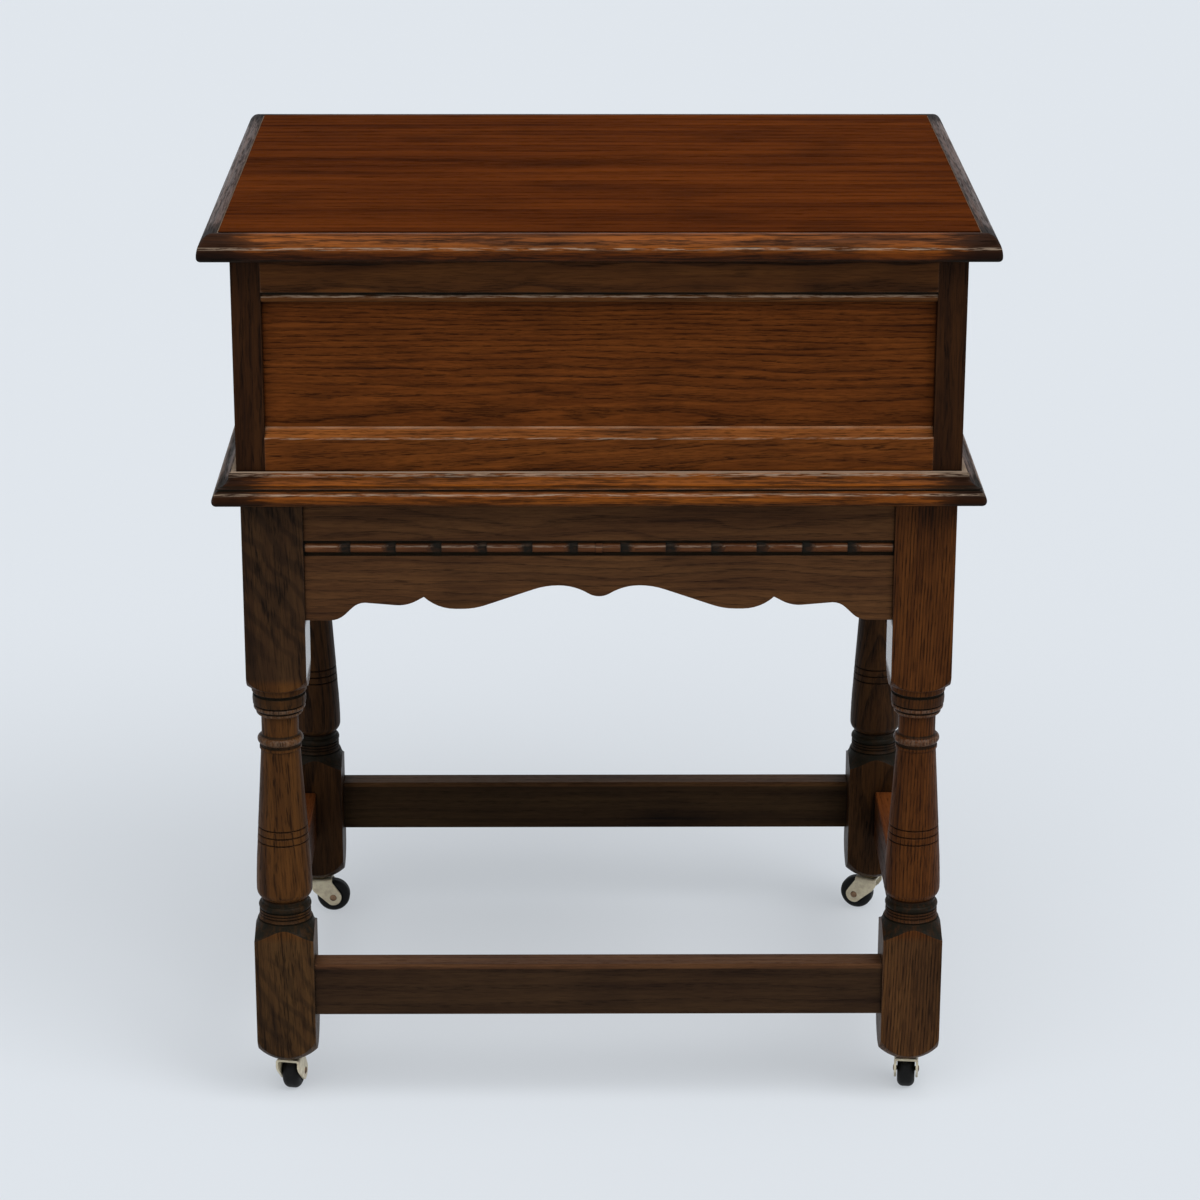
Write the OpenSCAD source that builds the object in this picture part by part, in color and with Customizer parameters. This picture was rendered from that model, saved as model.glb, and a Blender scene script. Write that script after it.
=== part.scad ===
// Lift-lid table: a framed and panelled oak box with a hinged, moulded lid, on a stand
// of four turned legs with scalloped aprons, a low box stretcher and small castors.
// Millimetres. +Z is up, the front faces -Y and the origin is on the floor under the centre.

/* [Stand] */
// Width over the leg blocks
stand_w = 518; // [500:1:620]
// Depth over the leg blocks
stand_d = 395; // [350:5:480]
// Side of a square leg block
leg_sq = 44.5; // [43:0.5:48]
// Height of the upper leg block
top_block_h = 140; // [125:0.5:180]
// Length of the turned shaft between the blocks
turning_h = 206.3; // [195:0.1:260]
// Height of the lower leg block
low_block_h = 83.3; // [78:0.1:110]
// Height of the domed toe under the lower block
toe_h = 21.9; // [18:0.1:26]
// Radius of the toe where it meets the castor collar
toe_r = 9; // [8.5:0.5:12]
// Set-back of aprons and stretchers from the leg faces
set_back = 2.5; // [1:0.5:4]

/* [Turning] */
// Radius of the neck under the collar band
neck_r = 13.8; // [12.5:0.1:14.5]
// Radius of the collar band under the upper block
band_r = 19.7; // [18.5:0.1:20.5]
// Radius of the ring on the neck
ring_r = 17.1; // [16:0.1:18]
// Radius at the top of the tapered vase
vase_top_r = 14.7; // [13.5:0.1:15.5]
// Greatest radius of the vase, near its foot
vase_low_r = 21; // [20:0.1:21.5]
// Height of the lowest of the three scored lines above the lower block
score_z = 74.3; // [62:0.1:90]
// Distance between the scored lines
score_pitch = 5.6; // [4.5:0.1:7]
// Depth of the scored lines
score_d = 1; // [0.5:0.1:1.5]

/* [Aprons] */
// Depth of an apron at its ends
apron_h = 92.5; // [80:0.5:120]
// Thickness of an apron
apron_t = 20; // [18:0.5:24]
// Height of the carved bead strip's centre above the apron's lower end
strip_z = 55.3; // [48:0.1:70]
// Height of the sunk strip that holds the beads
strip_h = 11.4; // [10:0.1:13]
// Depth of the sunk strip
strip_sink = 2; // [1:0.1:3]
// Radius of a carved bead
bead_r = 3.7; // [3.3:0.1:4.2]
// How far the beads stand proud of the apron
bead_proud = 0.8; // [0.2:0.1:1.2]
// Number of carved beads on the front apron
bead_count = 13; // [9:2:17]
// Length of the gouge cut at one end of a bead
gouge_l = 9; // [7:0.5:11]
// Depth of the gouge cut
gouge_d = 2.8; // [2:0.1:3.2]

/* [Scallop] */
// Half length of the scalloped pattern as drawn, before it is fitted to an apron
scallop_half = 196.5; // [193:0.5:200]
// Radius at the foot of the ogee at each end
ogee_low_r = 16; // [13:0.5:18]
// Radius at the top of the ogee
ogee_top_r = 13.5; // [11:0.5:16]
// Place of the top of the ogee
shelf_x = 170.5; // [169:0.5:172]
// Height of the top of the ogee above the apron's lower end
shelf_z = 13.6; // [13:0.1:15]
// Place of the hollow beside the cusp
outer_x = 146; // [144:0.5:148]
// Height of that hollow above the apron's lower end
outer_low = 11.6; // [11:0.1:13]
// Radius of that hollow
outer_r = 26; // [23:0.5:28]
// Place of the cusp
cusp_x = 127.7; // [126.5:0.1:129]
// Height of the cusp above the apron's lower end
cusp_z = 18; // [16.5:0.1:19.5]
// Inner end of the lobe's flat
lobe_x = 99.5; // [97:0.5:102]
// Lowest point of the lobe above the apron's lower end
lobe_low = 8.8; // [7.5:0.1:10]
// Radius of the lobe beside the cusp
lobe_r = 33; // [30:0.5:36]
// Radius of the lobe where it rises towards the arch
sweep_r = 51; // [45:0.5:57]
// Centre of the arch beside the middle
arch_x = 29.5; // [28:0.5:31]
// Height of the arch above the apron's lower end
arch_top = 26.8; // [25:0.1:28.5]
// Radius of the arch on its outer side
arch_r = 56; // [50:0.5:62]
// Radius of the arch on the side of the middle
arch_in_r = 41; // [37:0.5:45]
// Radius of the point in the middle
tip_r = 15; // [11:0.5:17]
// Flat at each end of the scallop on the front apron
front_flat = 18; // [12:0.5:24]
// Flat at each end of the scallop on a side apron
side_flat = 9; // [6:0.5:14]

/* [Stretchers] */
// Height of a stretcher
stretcher_h = 40.7; // [34:0.1:46]
// Thickness of a stretcher
stretcher_t = 20; // [18:0.5:24]
// Height of the stretchers above the toe
stretcher_up = 20.9; // [18:0.1:26]
// Rounding on the stretchers' upper edges
stretcher_ease = 1.5; // [0.5:0.1:3]

/* [Box] */
// How far the box stands proud of the legs
box_proud = 2; // [1:0.1:4]
// Height of the box from the stand to its rim
box_h = 180.5; // [150:0.5:240]
// Thickness of the base board
base_t = 9; // [6:0.5:12]
// Side of a square corner post
post_sq = 21; // [20.5:0.1:26]
// Thickness of the box rails
rail_t = 20; // [19:0.1:20.5]
// Height of the plain face of a top rail
top_rail_h = 26; // [24:0.1:34]
// Width of the quirk over the top rail's bead
quirk_w = 2; // [1:0.1:2.5]
// Diameter of the bead along a top rail
rail_bead_d = 5.5; // [4:0.1:6]
// Height of a bottom rail's face above the plinth moulding
low_rail_face = 24.7; // [18:0.1:34]
// Height and depth of the bevel that leads down from a panel
sill = 7; // [5:0.1:8]
// Thickness of a panel
panel_t = 6; // [4:0.1:7]
// Depth of the grooves that hold the panels
groove_d = 6; // [4:0.1:7]

/* [Mouldings] */
// Height of the plinth moulding
plinth_h = 22.5; // [20:0.1:26]
// Projection of the plinth moulding
plinth_out = 17; // [15.5:0.1:19]
// Thickness of the lid
lid_t = 19.3; // [18:0.1:22]
// Overhang of the lid on every side
lid_over = 21.4; // [18:0.1:26]
// Width of the moulding round the lid
edge_w = 14.8; // [14:0.1:18]
// Gap between the rim and the closed lid
lid_gap = 0.4; // [0.2:0.1:1]

/* [Hinges] */
// Length of a butt hinge
hinge_l = 64; // [50:1:80]
// Distance of a hinge's middle from the end of the box
hinge_in = 95; // [70:1:140]
// Radius of the hinge knuckle
knuckle_r = 3; // [2.5:0.1:3.5]
// Radius of the hinge pin
pin_r = 1.3; // [1:0.05:1.5]
// Thickness of a hinge leaf
leaf_t = 1.5; // [1:0.1:1.8]
// Width of a hinge leaf inside the box's rear face
leaf_w = 15; // [12:0.5:17]
// Length of a hinge screw
screw_l = 12; // [8:0.5:14]
// Radius of a hinge screw
screw_r = 1.4; // [1:0.1:1.6]

/* [Castors] */
// Diameter of a castor wheel
wheel_d = 28; // [25:0.5:32]
// Width of a castor wheel
wheel_w = 13.5; // [12:0.5:15]
// Rounding of the wheel's tread
tread_r = 5; // [3:0.1:5.6]
// Distance from the swivel axis to the axle
trail = 12; // [9:0.5:15]
// Thickness of the pressed horn
horn_t = 1.8; // [1.4:0.1:2.2]
// Length of the horn's crown
crown_l = 18; // [15:0.5:20]
// Radius of the horn round the axle
boss_r = 7; // [5:0.5:8]
// Radius of the axle
axle_r = 1.8; // [1.4:0.1:2.4]
// Radius of the swivel stem
stem_r = 4; // [3:0.1:4.4]
// Length of the swivel stem above the horn
stem_l = 32; // [24:1:36]
// Radius of the socket's collar
collar_r = 8; // [7.5:0.1:8.4]
// Height of the socket's collar
collar_h = 1.8; // [1.5:0.1:4]
// Wall of the socket tube
socket_wall = 1.9; // [1.2:0.1:2.2]

/* [Hidden] */
// Clearance of glued joints, of turning pins, and of parts that pass each other
joint_gap = 0.1;
turn_gap = 0.04;
run_gap = 0.3;
wheel_gap = 0.7;
crown_fore = 2;
crown_gap = 0.8;

// Tenons of aprons, stretchers and box rails
tenon_t = 8;
tenon_l = 15;
tenon_shoulder = 8;
tenon_root = 2;
rail_tenon_t = 6.2;
tongue_t = 6;
tongue_l = 4;

// Heights from the floor
wheel_r = wheel_d / 2;
crown_z = wheel_d + crown_gap;
collar_z = crown_z + horn_t + run_gap;
leg_z = collar_z + collar_h;
low_block_z = leg_z + toe_h;
shaft_z = low_block_z + low_block_h;
top_block_z = shaft_z + turning_h;
frame_z = top_block_z + top_block_h;
rim_z = frame_z + box_h;
lid_z = rim_z + lid_gap;
apron_z = frame_z - apron_h;
stretcher_z = low_block_z + stretcher_up;

// Plan sizes
leg_x = stand_w / 2 - leg_sq / 2;
leg_y = stand_d / 2 - leg_sq / 2;
corner_r = leg_sq / sqrt(2);
front_len = stand_w - 2 * leg_sq;
side_len = stand_d - 2 * leg_sq;
box_w = stand_w + 2 * box_proud;
box_d = stand_d + 2 * box_proud;
field_w = box_w + 2 * (lid_over - edge_w);
field_d = box_d + 2 * (lid_over - edge_w);

// Box frame: the post's inner sides stand in line with the rails' ends
rail_tenon_l = post_sq - (rail_t + rail_tenon_t) / 2 - 1;
rail_front_len = box_w - 2 * post_sq;
rail_side_len = box_d - 2 * post_sq;
top_rail_full = top_rail_h + quirk_w + rail_bead_d;
low_rail_z = frame_z + base_t;
low_rail_top = frame_z + plinth_h + low_rail_face + sill;
panel_y = sill;
groove_w = panel_t + 2 * joint_gap;

// Lid hinges
axis_y = box_d / 2 + knuckle_r + run_gap;
axis_z = rim_z + lid_gap / 2;
hinge_x = box_w / 2 - hinge_in;
knuckles = 5;
knuckle_l = hinge_l / knuckles;
screw_head_r = 2 * screw_r;
screw_pitch = hinge_l / 3;

// Castors: the direction of each wheel from its swivel, seen from above
socket_r = stem_r + turn_gap + socket_wall;
socket_l = stem_l + 2;
horn_w = wheel_w + 2 * (wheel_gap + horn_t);
head_r = 1.6 * axle_r;
head_t = 0.8;
yaw_front_left = 80;
yaw_front_right = 84;
yaw_rear_left = 0;
yaw_rear_right = 156;

CORNERS = ["front_left", "front_right", "rear_left", "rear_right"];
SIDES = ["front", "right", "rear", "left"];

$fn = 64;

// Helpers

// Points along a circular arc about c, from angle a to angle b
function arc(c, r, a, b, steps = 8) =
    [for (i = [0 : steps]) c + r * [cos(a + (b - a) * i / steps), sin(a + (b - a) * i / steps)]];

// The same outline for the other half, from the centre outwards
function other_half(points) = [for (i = [len(points) - 1 : -1 : 0]) [-points[i][0], points[i][1]]];

// Puts something drawn at the middle of the front, facing -Y, on a side of the table
module on_side(side, half_w, half_d) {
    turn = search([side], SIDES)[0];
    rotate([0, 0, 90 * turn])
        translate([0, turn % 2 == 0 ? -half_d : -half_w, 0])
            children();
}

// Puts something drawn about the front left corner's axis on any corner
module on_corner(corner, x, y) {
    index = search([corner], CORNERS)[0];
    mirror([index % 2, 0, 0])
        mirror([0, index < 2 ? 0 : 1, 0])
            translate([-x, -y, 0])
                children();
}

// Draws a shape and the same shape mirrored in the diagonal of a corner
module both_ways() {
    children();
    mirror([1, -1, 0]) children();
}

// A profile in [outwards, up], run along a side from mitre to mitre.
// The profile's origin lies on the rectangle half_w by half_d at the corner.
module mitred(side, half_w, half_d, profile, reach) {
    turn = search([side], SIDES)[0];
    along = turn % 2 == 0 ? half_w : half_d;
    on_side(side, half_w, half_d)
        intersection() {
            translate([-along - reach, 0, 0])
                rotate([90, 0, 90])
                    linear_extrude(2 * (along + reach))
                        polygon([for (p = profile) [-p[0], p[1]]]);
            linear_extrude(10 * rim_z, center = true)
                polygon([
                    [-along, 0], [-along - reach, -reach], [along + reach, -reach],
                    [along, 0], [along - reach, reach], [reach - along, reach]
                ]);
        }
}

// Legs

// Turned outline of a leg as [radius, height], from the toe up
function toe_outline() =
    let (
        dome_z = (corner_r * corner_r + toe_h * toe_h - toe_r * toe_r) / (2 * toe_h),
        dome_r = norm([toe_r, dome_z]),
        first = -acos(toe_r / dome_r),
        last = -acos(corner_r / dome_r)
    )
    concat([[0, leg_z]], arc([0, leg_z + dome_z], dome_r, first, last, 10));

// Cove, scored band, ring and hollow between the lower block and the vase
function foot_outline() = let (z = shaft_z, ring = vase_low_r - 1.3) concat(
    arc([corner_r + 5.1, z + 13.7], 16, 253, 192.5, 8),
    [[ring - 0.1, z + 10.6], [ring - 0.1, z + 11.2], [ring + 0.6, z + 11.6], [ring - 0.1, z + 12.6]],
    score(ring - 0.2, z + 14), score(ring - 0.2, z + 16.4),
    [[ring - 0.4, z + 18.3]],
    arc([ring - 2.7, z + 21.3], 2.9, -62, 75, 6),
    [[ring - 2.2, z + 24.6], [ring - 2.2, z + 26.2]],
    arc([vase_low_r - 8, z + 34.6], 8, -64, 0, 6)
);

// A scored line as a small vee cut into radius r at height z
function score(r, z) = [[r, z - 0.8], [r - score_d, z], [r, z + 0.8]];

// Straight taper of the vase with three scored lines
function taper_r(z) =
    let (low = shaft_z + 58.8, high = shaft_z + turning_h - 58.9)
    vase_low_r - 0.7 + (vase_top_r - vase_low_r + 0.7) * (z - low) / (high - low);
function vase_outline() = let (z = shaft_z) concat(
    [[vase_low_r, z + 41], [vase_low_r - 0.3, z + 50], [taper_r(z + 58.8), z + 58.8]],
    [for (i = [0 : 2]) each score(taper_r(z + score_z + i * score_pitch), z + score_z + i * score_pitch)],
    [[vase_top_r, z + turning_h - 58.9]]
);

// Fillet, ring, neck, small beads, collar band and rounded shoulder under the upper block
function neck_outline() = let (z = top_block_z) concat(
    [[vase_top_r + 0.9, z - 58.5], [vase_top_r + 0.9, z - 56.7], [vase_top_r, z - 56.1]],
    arc([ring_r - 3.2, z - 51.2], 3.2, -75, 78, 7),
    [[neck_r + 0.3, z - 47.5], [neck_r, z - 45], [neck_r, z - 32.5], [neck_r + 0.9, z - 31.2]],
    arc([band_r - 3.9, z - 29.3], 1.6, -80, 60, 5),
    [[band_r - 2.7, z - 27.4]],
    arc([band_r - 2.5, z - 25.3], 2, -75, 75, 6),
    [[band_r - 1.1, z - 23.1], [band_r - 0.1, z - 22.6], [band_r + 0.2, z - 19], [band_r - 0.1, z - 15.5]],
    [[band_r - 1.2, z - 15], [band_r - 1.2, z - 14], [band_r + 0.2, z - 13.2]],
    [[band_r + 0.6, z - 12.5], [band_r + 0.8, z - 9.2]],
    arc([corner_r - 16.5, z + 7.4], 17, -70, -13, 8)
);

function leg_outline() = concat(
    toe_outline(),
    [[corner_r + 1, low_block_z + 0.5], [corner_r + 1, shaft_z - 2.2]],
    foot_outline(),
    vase_outline(),
    neck_outline(),
    [[corner_r + 1, top_block_z + 4.2], [corner_r + 1, frame_z], [0, frame_z]]
);

// Mortise along +X for a tenon on a rail of thickness t, between heights low and high
module leg_mortise(t, low, high) {
    translate([
        leg_sq / 2 - tenon_l - joint_gap,
        set_back - leg_sq / 2 + (t - tenon_t) / 2 - joint_gap,
        low - joint_gap
    ])
        cube([tenon_l + 1, tenon_t + 2 * joint_gap, high - low + 2 * joint_gap]);
}

module leg(corner) {
    color("#5a3418")
        on_corner(corner, leg_x, leg_y)
            difference() {
                intersection() {
                    translate([-leg_sq / 2, -leg_sq / 2, 0]) cube([leg_sq, leg_sq, frame_z]);
                    rotate_extrude() polygon(leg_outline());
                }
                both_ways() {
                    leg_mortise(apron_t, apron_z + tenon_shoulder, frame_z - tenon_shoulder);
                    leg_mortise(
                        stretcher_t, stretcher_z + tenon_shoulder, stretcher_z + stretcher_h - tenon_shoulder
                    );
                }
                translate([0, 0, leg_z - 1]) cylinder(h = socket_l + 1 + joint_gap, r = socket_r + joint_gap);
            }
}

// Aprons and stretchers

// An ogee from its foot at p up to its head at q: two arcs and the straight that touches both
function ogee(p, foot_r, q, head_r) =
    let (
        run = q[0] - p[0],
        rise = q[1] - p[1] - foot_r - head_r,
        steep = atan2(rise, run) + asin((foot_r + head_r) / norm([run, rise]))
    )
    concat(
        arc([p[0], p[1] + foot_r], foot_r, -90, steep - 90, 4),
        arc([q[0], q[1] - head_r], head_r, steep + 90, 90, 4)
    );

// Lower edge of an apron from its left end to the middle, for a pattern scaled by k
function scallop(half_len, k) =
    let (
        // the lobe's outer arc ends at the cusp
        lobe_turn = acos((lobe_r - cusp_z + lobe_low) / lobe_r),
        // the arch's inner side runs smoothly into the rounded point
        tip_turn = asin(arch_x / (arch_in_r + tip_r)),
        tip_z = arch_top - arch_in_r + (arch_in_r + tip_r) * cos(tip_turn),
        pattern = concat(
            ogee([-scallop_half, 0], ogee_low_r, [-shelf_x, shelf_z], ogee_top_r),
            arc([-outer_x, outer_low + outer_r], outer_r, -95, -60, 5),
            arc([lobe_r * sin(lobe_turn) - cusp_x, lobe_low + lobe_r], lobe_r, -90 - lobe_turn, -90, 6),
            ogee([-lobe_x, lobe_low], sweep_r, [-arch_x, arch_top], arch_r),
            arc([-arch_x, arch_top - arch_in_r], arch_in_r, 84, 90 - tip_turn, 5),
            arc([0, tip_z], tip_r, -90 - tip_turn, -90, 4)
        )
    )
    concat([[-half_len, 0]], [for (p = pattern) k * p]);

// One carved bead along +X from the stop cut, with a gouge at its far end
module carved_bead(length) {
    difference() {
        translate([0, bead_r - bead_proud, 0]) rotate([0, 90, 0]) cylinder(h = length, r = bead_r, $fn = 32);
        translate([length, -gouge_l * gouge_l / (2 * gouge_d) - bead_proud + gouge_d / 2, 0])
            cylinder(h = 4 * bead_r, r = gouge_l * gouge_l / (2 * gouge_d) + gouge_d / 2, center = true);
    }
}

// A row of beads, their gouges towards the middle on both halves
module bead_row(length, count) {
    pitch = length / count;
    stop_cut = 1.6;
    half = (count - 1) / 2;
    for (side = [0, 1])
        mirror([side, 0, 0])
            for (i = [0 : half - 1])
                translate([-length / 2 + i * pitch + stop_cut / 2, 0, 0]) carved_bead(pitch - stop_cut);
    translate([-(pitch - stop_cut) / 2, bead_r - bead_proud, 0])
        rotate([0, 90, 0])
            cylinder(h = pitch - stop_cut, r = bead_r, $fn = 32);
    translate([0, bead_r - bead_proud, 0])
        rotate([0, 90, 0])
            cylinder(h = 5, r = bead_r + 0.5, center = true, $fn = 32);
}

// A tenon at each end of a rail of the given length, thickness and height range, rooted in the rail
module end_tenons(length, t, low, high, tenon_thick, tenon_long) {
    for (side = [-1, 1])
        translate([side * (length + tenon_long - tenon_root) / 2, t / 2, (low + high) / 2])
            cube([tenon_long + tenon_root, tenon_thick, high - low], center = true);
}

// An apron faces -Y with its face at y = 0
module apron_board(length, k, count) {
    half_edge = scallop(length / 2, k);
    difference() {
        translate([0, apron_t, apron_z])
            rotate([90, 0, 0])
                linear_extrude(apron_t)
                    polygon(concat(half_edge, other_half(half_edge), [[length / 2, apron_h], [-length / 2, apron_h]]));
        if (count > 0)
            translate([-length, -1, apron_z + strip_z - strip_h / 2])
                cube([2 * length, strip_sink + 1, strip_h]);
    }
    if (count > 0)
        translate([0, 0, apron_z + strip_z]) bead_row(length, count);
    end_tenons(length, apron_t, apron_z + tenon_shoulder, frame_z - tenon_shoulder, tenon_t, tenon_l);
}

module apron(side) {
    front = side == "front" || side == "rear";
    length = front ? front_len : side_len;
    side_count = 2 * floor(side_len / front_len * bead_count / 2) + 1;
    count = side == "rear" ? 0 : front ? bead_count : side_count;
    k = (length / 2 - (front ? front_flat : side_flat)) / scallop_half;
    color("#4a2b15")
        on_side(side, stand_w / 2 - set_back, stand_d / 2 - set_back)
            apron_board(length, k, count);
}

// Section of a stretcher as [inwards, up], with eased upper edges
function stretcher_section() = concat(
    [[0, 0], [stretcher_t, 0]],
    arc([stretcher_t - stretcher_ease, stretcher_h - stretcher_ease], stretcher_ease, 0, 90, 4),
    arc([stretcher_ease, stretcher_h - stretcher_ease], stretcher_ease, 90, 180, 4)
);

module stretcher(side) {
    length = side == "front" || side == "rear" ? front_len : side_len;
    color("#46281a")
        on_side(side, stand_w / 2 - set_back, stand_d / 2 - set_back) {
            translate([-length / 2, 0, stretcher_z])
                rotate([90, 0, 90])
                    linear_extrude(length)
                        polygon(stretcher_section());
            end_tenons(
                length, stretcher_t, stretcher_z + tenon_shoulder,
                stretcher_z + stretcher_h - tenon_shoulder, tenon_t, tenon_l
            );
        }
}

// Box

module base_board() {
    color("#6b4a2c")
        translate([-box_w / 2, -box_d / 2, frame_z])
            cube([box_w, box_d, base_t]);
}

// Section of the plinth moulding as [outwards, up]: torus, fillet, cove and top bead
function plinth_section() = let (out = plinth_out, top = plinth_h) concat(
    [[0, 0], [out - 4.4, 0]],
    arc([out - 4.6, 4.6], 4.6, -80, 0, 5),
    [for (p = arc([0, 0], 1, 8, 58, 6)) [out - 8 + 8 * p[0], 4.8 + 7.6 * p[1]]],
    [[out - 4.6, 11.6], [out - 4.6, 12.6], [out - 3.6, 12.6], [out - 3.6, 13.4]],
    arc([out - 4.3, top - 1.6], top - 15, 270, 180, 7),
    [[out + 10.7 - top, top - 1.3], [out + 10.2 - top, top], [0, top]]
);

module plinth_moulding(side) {
    color("#7a4524")
        translate([0, 0, frame_z])
            mitred(side, box_w / 2, box_d / 2, plinth_section(), plinth_out + 1);
}

// Pocket for a rail tenon and groove for a panel, on the post's +X side
module post_joints() {
    for (range = [[low_rail_z, low_rail_top - sill], [rim_z - top_rail_h, rim_z - rail_shoulder]])
        translate([
            post_sq / 2 - rail_tenon_l - joint_gap,
            rail_t / 2 - post_sq / 2 - rail_tenon_t / 2 - joint_gap,
            range[0] - joint_gap
        ])
            cube([rail_tenon_l + 1, rail_tenon_t + 2 * joint_gap, range[1] - range[0] + 2 * joint_gap]);
    translate([post_sq / 2 - groove_d - joint_gap, panel_y - joint_gap - post_sq / 2, low_rail_z])
        cube([groove_d + 1, groove_w, rim_z - top_rail_h - low_rail_z]);
}
rail_shoulder = 6;

module corner_post(corner) {
    color("#3c2413")
        on_corner(corner, (box_w - post_sq) / 2, (box_d - post_sq) / 2)
            difference() {
                translate([-post_sq / 2, -post_sq / 2, low_rail_z])
                    cube([post_sq, post_sq, rim_z - low_rail_z]);
                both_ways() post_joints();
            }
}

// Section of a top rail as [inwards, up from its lower edge], with a bead under a quirk
function top_rail_section() = let (r = rail_bead_d / 2, top = top_rail_full) concat(
    [[rail_t, top], [0, top], [0, rail_bead_d + quirk_w], [1.8, rail_bead_d + quirk_w], [1.8, rail_bead_d - 0.4]],
    arc([r + 0.5, r], r, 125, 270, 8),
    [
        [panel_y - joint_gap, 0], [panel_y - joint_gap, groove_d + joint_gap],
        [panel_y - joint_gap + groove_w, groove_d + joint_gap], [panel_y - joint_gap + groove_w, 0], [rail_t, 0]
    ]
);

// Section of a bottom rail as [inwards, up], with a bevel up to the panel
function low_rail_section() = let (top = low_rail_top - low_rail_z) [
    [0, 0], [rail_t, 0], [rail_t, top],
    [panel_y - joint_gap + groove_w, top], [panel_y - joint_gap + groove_w, top - groove_d - joint_gap],
    [panel_y - joint_gap, top - groove_d - joint_gap], [panel_y - joint_gap, top], [0, top - sill]
];

// A box rail between the posts, with its tenons between heights low and high
module box_rail(side, z, section, low, high) {
    length = side == "front" || side == "rear" ? rail_front_len : rail_side_len;
    on_side(side, box_w / 2, box_d / 2) {
        translate([-length / 2, 0, z])
            rotate([90, 0, 90])
                linear_extrude(length)
                    polygon(section);
        end_tenons(length, rail_t, low, high, rail_tenon_t, rail_tenon_l);
    }
}

module top_rail(side) {
    color("#47290f")
        difference() {
            box_rail(side, rim_z - top_rail_full, top_rail_section(), rim_z - top_rail_h, rim_z - rail_shoulder);
            if (side == "rear")
                hinge_pair() {
                    translate([-hinge_l / 2 - joint_gap, axis_y - hinge_reach - joint_gap, rim_z - leaf_t])
                        cube([hinge_l + 2 * joint_gap, hinge_reach + knuckle_r, leaf_t + 1]);
                    screw_places(rim_z) screw_hole();
                }
        }
}

module bottom_rail(side) {
    color("#52300f")
        box_rail(side, low_rail_z, low_rail_section(), low_rail_z, low_rail_top - sill);
}

module box_panel(side) {
    length = side == "front" || side == "rear" ? rail_front_len : rail_side_len;
    low = low_rail_top - groove_d;
    high = rim_z - top_rail_full + groove_d;
    color("#4d2c14")
        on_side(side, box_w / 2, box_d / 2)
            translate([-length / 2 - groove_d + joint_gap, panel_y, low + joint_gap])
                cube([length + 2 * (groove_d - joint_gap), panel_t, high - low - 2 * joint_gap]);
}

// Lid

// Section of the lid's moulding as [outwards, up]: a quirk, a long thumb and a soft lower edge
function edge_section() = let (out = edge_w, top = lid_t, mid = lid_t / 2) concat(
    [[0, 0], [out - 3.8, 0]],
    arc([out - 3.7, 3.7], 3.7, -90, 0, 5),
    [for (p = arc([0, 0], 1, 6, 90, 10)) [out - 10.5 + 10.5 * p[0], 4 + (top - 4.1) * p[1]]],
    [[1.2, top - 0.5], [0.3, top - 1.4], [0, top - 1.4]],
    [[0, mid + tongue_t / 2], [tongue_l, mid + tongue_t / 2], [tongue_l, mid - tongue_t / 2], [0, mid - tongue_t / 2]]
);

// Room for the knuckles under the lid, concentric with the hinge axis
module knuckle_room() {
    translate([0, axis_y, axis_z])
        rotate([0, 90, 0])
            cylinder(h = hinge_l + 2 * run_gap, r = knuckle_r + run_gap, center = true);
}

module lid_moulding(side) {
    color("#744225")
        difference() {
            translate([0, 0, lid_z])
                mitred(side, field_w / 2, field_d / 2, edge_section(), edge_w + 1);
            if (side == "rear")
                hinge_pair() knuckle_room();
        }
}

module lid_panel() {
    edge = joint_gap;
    color("#5c2c14")
        difference() {
            union() {
                translate([-field_w / 2, -field_d / 2, lid_z]) cube([field_w, field_d, lid_t]);
                translate([
                    -field_w / 2 - tongue_l + edge, -field_d / 2 - tongue_l + edge,
                    lid_z + lid_t / 2 - tongue_t / 2 + edge
                ])
                    cube([
                        field_w + 2 * (tongue_l - edge), field_d + 2 * (tongue_l - edge), tongue_t - 2 * edge
                    ]);
            }
            hinge_pair() {
                translate([-hinge_l / 2 - joint_gap, axis_y - hinge_reach - joint_gap, lid_z - 1])
                    cube([hinge_l + 2 * joint_gap, hinge_reach, leaf_t + 1]);
                knuckle_room();
                screw_places(lid_z) mirror([0, 0, 1]) screw_hole();
            }
        }
}

// Hinges

hinge_reach = leaf_w + knuckle_r + run_gap;

module hinge_pair() {
    for (side = [-1, 1])
        translate([side * hinge_x, 0, 0]) children();
}

// Three screws in a row along each leaf, staggered across it
module screw_places(z) {
    for (i = [-1 : 1])
        translate([i * screw_pitch, axis_y - hinge_reach + leaf_w * (i == 0 ? 0.62 : 0.36), z])
            children();
}

// A countersunk screw, its head level with z = 0 and its shank downwards
module screw_form(extra) {
    head_h = screw_head_r - screw_r;
    rotate_extrude()
        polygon([
            [0, 0], [screw_head_r + extra, 0], [screw_r + extra, -head_h], [screw_r + extra, 2 - screw_l],
            [0, -screw_l - extra]
        ]);
}
module screw_hole() { screw_form(joint_gap / 2); }
module screw() {
    difference() {
        screw_form(0);
        translate([-screw_head_r, -0.35, -0.6]) cube([2 * screw_head_r, 0.7, 1]);
    }
}

// One leaf lies under the axis, or over it with up = 1; it carries every second knuckle
module hinge_leaf(up) {
    low = up == 1 ? lid_z : rim_z - leaf_t;
    difference() {
        union() {
            translate([-hinge_l / 2, axis_y - hinge_reach, low]) cube([hinge_l, hinge_reach, leaf_t]);
            own_knuckles(up, 0);
        }
        own_knuckles(1 - up, run_gap);
        translate([0, axis_y, axis_z])
            rotate([0, 90, 0])
                cylinder(h = hinge_l + 2, r = pin_r + turn_gap, center = true);
        screw_places(up == 1 ? lid_z : rim_z)
            mirror([0, 0, up])
                screw_hole();
    }
}

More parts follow.
